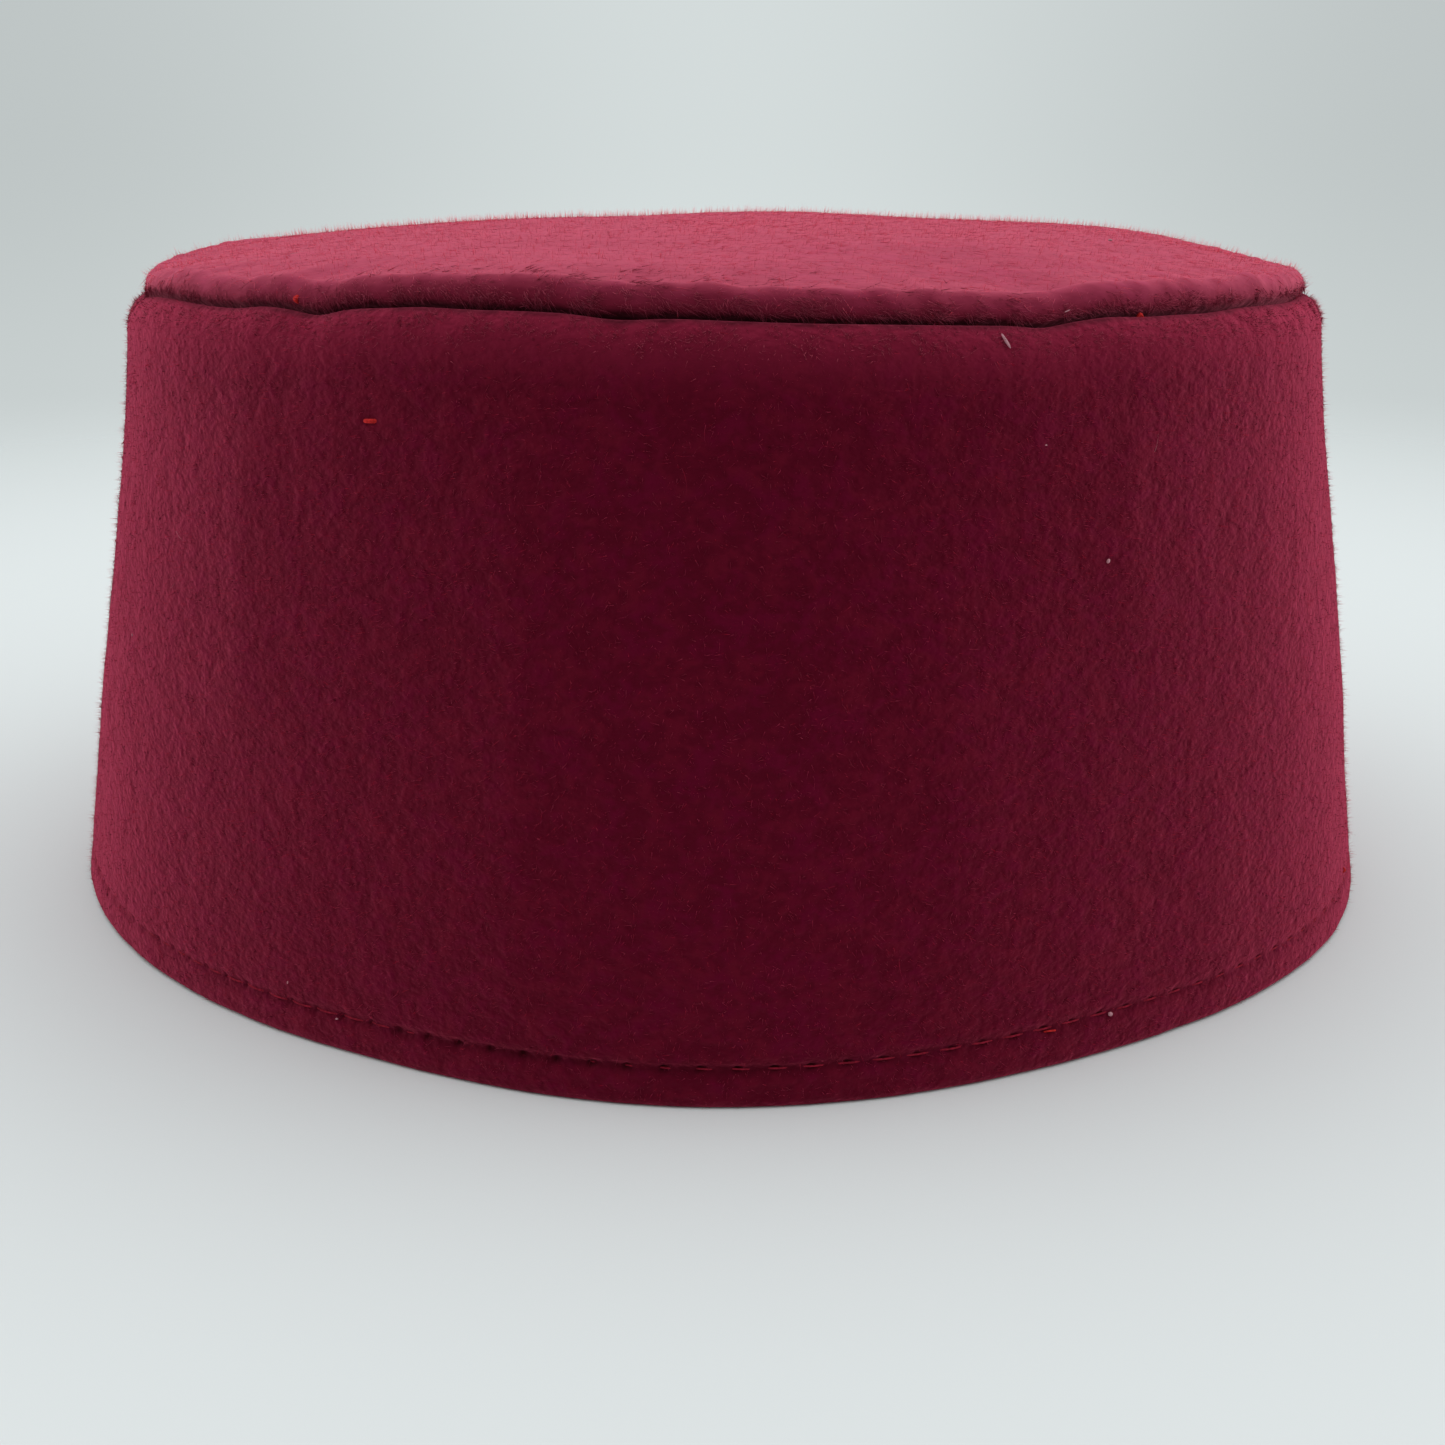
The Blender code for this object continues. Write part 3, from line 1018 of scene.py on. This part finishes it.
red_thread = thread_finish("red_thread", (0.320, 0.014, 0.036))
print("thread:", red_thread.name)


# %% Sew the hem
def hem_frames(tree, outward):
    """Where each stitch sits, and its axes: along the hem, up, and out of the felt."""
    places, frames = [], []
    pitch = 2 * pi / STITCHES
    for i in range(STITCHES):
        angle = STITCH_START + (i + 0.5) * pitch
        height = stitch_line(angle)
        ends = []
        for turn in (angle - pitch / 4, angle + pitch / 4):
            away = Vector((cos(turn), sin(turn), 0))
            origin = away * (2 * BASE_RADIUS if outward > 0 else 0) + Vector((0, 0, height))
            ends.append(tree.ray_cast(origin, -outward * away)[0])
        along = (ends[1] - ends[0]).normalized()
        out = outward * Vector((along.y, -along.x, 0)).normalized()
        proud = STITCH_PROUD + MM * read_round(SEWING, PROUD, angle)
        places.append((ends[0] + ends[1]) / 2 + out * proud)
        frames.append((along, out.cross(along), out))
    return np.array(places), np.array(frames)


felt_tree = BVHTree.FromObject(side_felt, bpy.context.evaluated_depsgraph_get())
outer_places, outer_frames = hem_frames(felt_tree, 1)
inner_places, inner_frames = hem_frames(felt_tree, -1)
lay_copies(
    "hem_stitches",
    stitch,
    np.concatenate([outer_places, inner_places]),
    np.concatenate([outer_frames, inner_frames]),
    red_thread,
)

# %% [markdown]
# ## The nap
#
# What makes felt look like felt is its nap: countless wool hairs standing a little off the surface.
# Blender's own hair would be the usual way, but it isn't a mesh and would be lost to anyone who takes the
# meshes away. So every hair here is a slim three-sided spike of four triangles.
#
# Places are drawn at random by area, but not where thread or seam presses the felt down. Deep hairs crowd
# between the felt's tufts and bright ones on them, which a noise decides. Each hair leans the way the cap
# was brushed, which another noise turns this way and that. The finest let some red light through. A few
# long curled hairs have worked loose from the rest.

# %% Hair patterns
LONG_HAIR_STEPS = 6
LONG_HAIR_SLIM = 0.016  # its thickness, as a share of its length
LONG_HAIR_BOW = 0.35  # and how far its tip bends aside


def hair_pattern(slimness, steps, bow):
    """A tapered hair along Z, one unit long, that bows towards X."""
    bm = bmesh.new()
    bmesh.ops.create_cone(bm, cap_ends=True, segments=3, radius1=slimness / 2, radius2=0, depth=1)
    bmesh.ops.translate(bm, vec=(0, 0, 0.5), verts=bm.verts)
    upright = [edge for edge in bm.edges if abs(edge.verts[0].co.z - edge.verts[1].co.z) > 0.5]
    if steps > 1:
        bmesh.ops.subdivide_edges(bm, edges=upright, cuts=steps - 1, use_grid_fill=True)
    for vert in bm.verts:
        vert.co.x += bow * vert.co.z**2
    return pattern_arrays(bm)


spike = hair_pattern(1.0, 1, 0.0)
curl = hair_pattern(LONG_HAIR_SLIM, LONG_HAIR_STEPS, LONG_HAIR_BOW)
print(f"a short hair has {len(spike[1])} triangles, a long one {len(curl[1])}")


# %% Draw places on the felt
def read_mesh(values, attribute, kind, width):
    """One value or vector for each element, as an array."""
    table = np.empty(width * len(values), dtype=kind)
    values.foreach_get(attribute, table)
    return table.reshape(-1, width)


def felt_places(piece, count, dice, edge_share):
    """Random places on the outside of a felt piece, with the felt's direction at each.

    An edge_share of 0 keeps them off the felt's turned edge, 1 keeps them on it, and 0.5 spreads them
    over both.
    """
    mesh = piece.data
    mesh.calc_loop_triangles()
    points = read_mesh(mesh.vertices, "co", float, 3)
    normals = read_mesh(mesh.vertices, "normal", float, 3)
    layers = [mesh.attributes[layer].data for layer in LAYERS]
    pressed_and_shaded, turned_edge_shading, outside = [read_mesh(layer, "value", float, 1) for layer in layers]
    corners = read_mesh(mesh.loop_triangles, "vertices", np.int32, 3)

    a, b, c = points[corners].transpose(1, 0, 2)
    area = np.linalg.norm(np.cross(b - a, c - a), axis=1) / 2
    there = edge_share * turned_edge_shading**EDGE_POWER + (1 - edge_share) * (1 - turned_edge_shading)
    hairy = outside * (1 - pressed_and_shaded) * there
    odds = area * hairy[corners].min(axis=(1, 2))
    chosen = corners[dice.choice(len(corners), count, p=odds / odds.sum())]
    share = dice.random((count, 2))
    share = np.where(share.sum(axis=1, keepdims=True) > 1, 1 - share, share)
    weights = np.column_stack([1 - share.sum(axis=1), share])[:, :, None]
    print(f"{piece.name}: {count / odds.sum() / 1e6:.2f} hairs to the mm2")
    return (points[chosen] * weights).sum(axis=1), unit((normals[chosen] * weights).sum(axis=1))


# %% Lean the hairs
SWIRL_SIZE = 0.0022
SWIRL = 1.2  # how strongly the swirls turn the hairs, against the brushed direction
HAIR_SPREAD = 0.35  # and how much each hair goes its own way
STAND_LEAST = 0.4  # a hair stands off the felt by this share of its kind's stand
STAND_MORE = 1.2  # and by up to this much more
STAND_LIMITS = (0.06, 0.99)

# How the nap was brushed. A fan is for each metre aside of the cap's middle
BAND_DOWN = 0.25
CROWN_ASIDE = 0.3
CROWN_FAN = 20
CROWN_FRONT_FAN = 40
ROLL_ASIDE = 0.9
ROLL_FAN = 8
ROLL_DOWN = 0.7


def swirls(places):
    return np.array([noise.noise_vector(Vector(place) / SWIRL_SIZE)[:] for place in places])


def lean(places, normals, brushed, stand, dice):
    """Directions of hairs that lean as brushed says, and stand off the felt by about this sine."""
    along = brushed + SWIRL * swirls(places) + HAIR_SPREAD * dice.normal(size=places.shape)
    along -= (along * normals).sum(axis=1, keepdims=True) * normals
    off = np.clip(stand * (STAND_LEAST + STAND_MORE * dice.random((len(places), 1))), *STAND_LIMITS)
    return unit(along) * np.sqrt(1 - off**2) + normals * off


def around(places):
    """Round the band away from its front, and a little down."""
    right, back = places[:, 0], places[:, 1]
    pull = right / TOP_RADIUS**2
    return np.column_stack([-pull * back, pull * right, np.full(len(places), -BAND_DOWN)])


def outwards(places):
    """Across the crown: sideways in the middle, and towards the front at both sides."""
    aside = places[:, 0]
    sideways = CROWN_ASIDE + CROWN_FAN * aside
    return unit(np.column_stack([sideways, -CROWN_FRONT_FAN * abs(aside), 0 * aside]))


def over_rim(places):
    """Sideways, out and down over the rim of the crown."""
    aside = places[:, 0]
    sideways = ROLL_ASIDE + ROLL_FAN * aside
    return unit(np.column_stack([sideways, 0 * aside, np.full(len(places), -ROLL_DOWN)]))


print("brushed at the right of the crown:", outwards(np.array([[0.05, 0, 0]]))[0].round(2))


# %% Finish of hair and lint
GLOW_DEPTH = 0.0001  # how far red light goes through wool
GLOW_TINT = (1.0, 0.12, 0.15)  # and how much less far the other colours


def plain_finish(name, colour, sheen, sheen_tint, glow):
    """One colour all over, dull. A glow of 1 lets light through, as a fine hair does."""
    finish, start = new_finish(name)
    start.surface(
        {
            "Base Color": (*colour, 1),
            "Roughness": 0.9,
            "Specular IOR Level": 0.05,
            "Subsurface Weight": glow,
            "Subsurface Radius": GLOW_TINT,
            "Subsurface Scale": GLOW_DEPTH,
            "Sheen Weight": sheen,
            "Sheen Roughness": 0.5,
            "Sheen Tint": (*sheen_tint, 1),
        }
    )
    return finish


WOOLS = {
    # name: colour, sheen, tint of the sheen, glow
    "deep": ((0.080, 0.0004, 0.009), 0.65, BAND_SHEEN, 0.0),
    "bright": ((0.155, 0.0018, 0.021), 0.75, BAND_SHEEN, 0.0),
    # a middle tone, for the shoulder's painted light and the roll's painted shade
    "roll": ((0.210, 0.0150, 0.038), 0.7, CROWN_SHEEN, 0.0),
    # the crown's wools are lighter, with the crown's painted light; lit is lighter still, as painted light
    # on hairs that stand up out of the crown
    "rose": ((0.440, 0.050, 0.104), 0.8, CROWN_SHEEN, 1.0),
    "pink": ((0.570, 0.083, 0.142), 0.8, CROWN_SHEEN, 1.0),
    "loose": ((0.250, 0.012, 0.031), 0.4, BAND_SHEEN, 0.8),
    "lit": ((0.600, 0.095, 0.145), 0.8, CROWN_SHEEN, 1.0),
    "pale": ((0.560, 0.270, 0.310), 0.0, (1, 1, 1), 0.0),
}
wools = {name: plain_finish(f"{name}_wool", *looks) for name, looks in WOOLS.items()}
print("wools:", ", ".join(wools))

# %% Sow the nap
TABLE_CLEARANCE = 0.0002
SHORTEST = 0.5  # hair of each kind, against its usual length
ON_FLAT = 0.0
ANYWHERE = 0.5
ON_EDGE = 1.0
EVEN = 0.0
IN_TUFTS = 1.2
BETWEEN = -1.2

NAP = (
    # name, pattern, felt, where, count, crowding, brushed, length in mm, thickness in mm, stand, wool:
    # a long curled hair is slim by its pattern, so both of its measures are its length
    ("band_nap_deep", spike, side_felt, ANYWHERE, 32000, BETWEEN, around, 0.7, 0.070, 0.30, "deep"),
    ("band_nap_bright", spike, side_felt, ANYWHERE, 26000, IN_TUFTS, around, 0.7, 0.055, 0.40, "bright"),
    ("shoulder_nap", spike, side_felt, ON_EDGE, 9000, IN_TUFTS, around, 0.8, 0.065, 0.60, "roll"),
    ("band_fuzz", spike, side_felt, ANYWHERE, 46000, EVEN, around, 0.8, 0.036, 1.10, "loose"),
    ("crown_nap_rose", spike, crown_felt, ON_FLAT, 14000, BETWEEN, outwards, 1.4, 0.042, 0.08, "rose"),
    ("crown_nap_pink", spike, crown_felt, ON_FLAT, 8000, IN_TUFTS, outwards, 1.4, 0.042, 0.08, "pink"),
    ("roll_nap", spike, crown_felt, ON_EDGE, 15000, IN_TUFTS, over_rim, 1.3, 0.060, 0.25, "roll"),
    ("crown_fuzz", spike, crown_felt, ANYWHERE, 20000, EVEN, outwards, 1.0, 0.036, 1.30, "lit"),
    ("band_stray_hairs", curl, side_felt, ANYWHERE, 200, EVEN, around, 2.2, 2.2, 0.30, "loose"),
    ("crown_stray_hairs", curl, crown_felt, ANYWHERE, 160, EVEN, outwards, 2.4, 2.4, 0.30, "pink"),
)


def crowded(places, crowding, dice):
    """Which places to keep, about half of them: more on the felt's tufts, or more between them."""
    tufted = np.array([noise.noise(Vector(place) / TUFT_SIZE) for place in places])
    return dice.random(len(places)) < 0.5 + crowding * tufted


for seed, row in enumerate(NAP):
    name, pattern, felt, where, count, crowding, brushed, length, thickness, stand, wool = row
    dice = np.random.default_rng(seed)
    places, normals = felt_places(felt, 2 * count, dice, where)
    kept = crowded(places, crowding, dice)
    places, normals = places[kept], normals[kept]
    aims = lean(places, normals, brushed(places), stand, dice)
    growth = MM * (SHORTEST + dice.random((len(places), 1)) ** 2)
    side = unit(np.cross(aims, dice.normal(size=aims.shape)))
    clear = (places + aims * length * growth)[:, 2] > TABLE_CLEARANCE
    axes = (side * thickness, np.cross(aims, side) * thickness, aims * length)
    frames = np.stack(axes, axis=1) * growth[:, None]
    lay_copies(name, pattern, places[clear], frames[clear], wools[wool])

# %% [markdown]
# ## Lint and loose thread
#
# Felt gathers small things: clipped ends of the red thread left in the seam, specks of white lint, a
# curled pale hair. They could be scattered by chance, but the eye knows each of them from the picture. So
# each one is named by where it shows there, and a ray from the camera through that spot finds the place
# on the felt.

# %% Patterns for small bits
BIT_SIDES = 2  # subdivisions of a speck


def speck_pattern():
    """A ball one unit across."""
    bm = bmesh.new()
    bmesh.ops.create_icosphere(bm, subdivisions=BIT_SIDES, radius=0.5)
    return pattern_arrays(bm)


def strand_pattern():
    """A stitch stretched to one unit long and one thick."""
    points, triangles = stitch
    sizes = np.array([np.ptp(points[:, 0]), THREAD, THREAD])
    return points / sizes, triangles


speck = speck_pattern()
strand = strand_pattern()
print(f"a speck has {len(speck[1])} triangles, a strand {len(strand[1])}")

# %% Lay the bits where the picture shows them
THREAD_ENDS = (
    # across, down, length, thickness, turn: pixels, pixels, mm, mm, degrees up from level
    (370, 421, 2.4, 0.50, 0),
    (297, 299, 1.3, 0.60, 80),
    (1140, 317, 1.2, 0.60, 15),
    (1343, 870, 1.0, 0.30, 60),
    (1050, 1031, 1.7, 0.22, 8),
)
LINT = (
    # the same columns
    (1005, 342, 2.0, 0.34, -57),
    (1107, 561, 0.6, 0.40, 60),
    (1045, 445, 0.3, 0.15, 0),
    (289, 982, 0.4, 0.15, 80),
    (338, 1019, 0.4, 0.20, 0),
    (134, 635, 0.4, 0.15, 90),
    (1109, 1014, 0.6, 0.55, 0),
    (1110, 242, 0.6, 0.30, 0),
    (1066, 311, 0.8, 0.12, 20),
)
CURLED_HAIRS = (
    # the same columns
    (178, 531, 2.6, 2.6, -50),
    (172, 588, 2.0, 2.0, 10),
    (239, 264, 2.2, 2.2, 5),
    (290, 256, 3.0, 3.0, 10),
    (1153, 452, 2.4, 2.4, 60),
)
BIT_LIFT = 0.00025  # above the felt, on top of its nap

crown_tree = BVHTree.FromObject(crown_felt, bpy.context.evaluated_depsgraph_get())


def on_felt(across, down):
    """The place and direction of the felt that a spot of the picture shows."""
    middle = PICTURE_SIDE / 2
    ray = aim.to_3x3() @ Vector((across - middle, middle - down, -FOCAL_LENGTH)).normalized()
    hits = [tree.ray_cast(CAMERA_PLACE, ray) for tree in (felt_tree, crown_tree)]
    return min((hit for hit in hits if hit[0]), key=lambda hit: hit[3])[:2]


def lay_bits(name, pattern, rows, finish, long_axis):
    """Copies of a pattern on the felt, its axis 0, 1 or 2 along each bit."""
    places, frames = [], []
    for across, down, length, thickness, turn in rows:
        place, normal = on_felt(across, down)
        right = aim.to_3x3() @ Vector((1, 0, 0))
        level = (right - normal * right.dot(normal)).normalized()
        along = Matrix.Rotation(radians(turn), 3, normal) @ level
        axes = [normal.cross(along) * thickness, normal * thickness]
        axes.insert(long_axis, along * length)
        places.append(place + normal * BIT_LIFT)
        frames.append([MM * axis for axis in axes])
    lay_copies(name, pattern, np.array(places), np.array(frames), finish)


scarlet_thread = thread_finish("scarlet_thread", (0.70, 0.030, 0.030))
lay_bits("thread_ends", strand, THREAD_ENDS, scarlet_thread, 0)
lay_bits("lint", speck, LINT, wools["pale"], 0)
lay_bits("curled_hairs", curl, CURLED_HAIRS, wools["pale"], 2)

# %% [markdown]
# ## Hanging everything on the solids
#
# Each new piece rides on the cap's one body, and the fine felt stands for its solid, which then isn't
# shown.

# %% Tie the felt to the frame
for piece, node in ((side_felt, "side_band"), (crown_felt, "crown_top")):
    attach(piece, "root")
    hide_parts(node)


def run(section):
    return sum(dist(a, b) for a, b in zip(section, section[1:]))


band_cut = run(band_rows + band_rows[:1]) / 2 - FELT  # there and back, less the two cut edges

# %% [markdown]
# ## The end
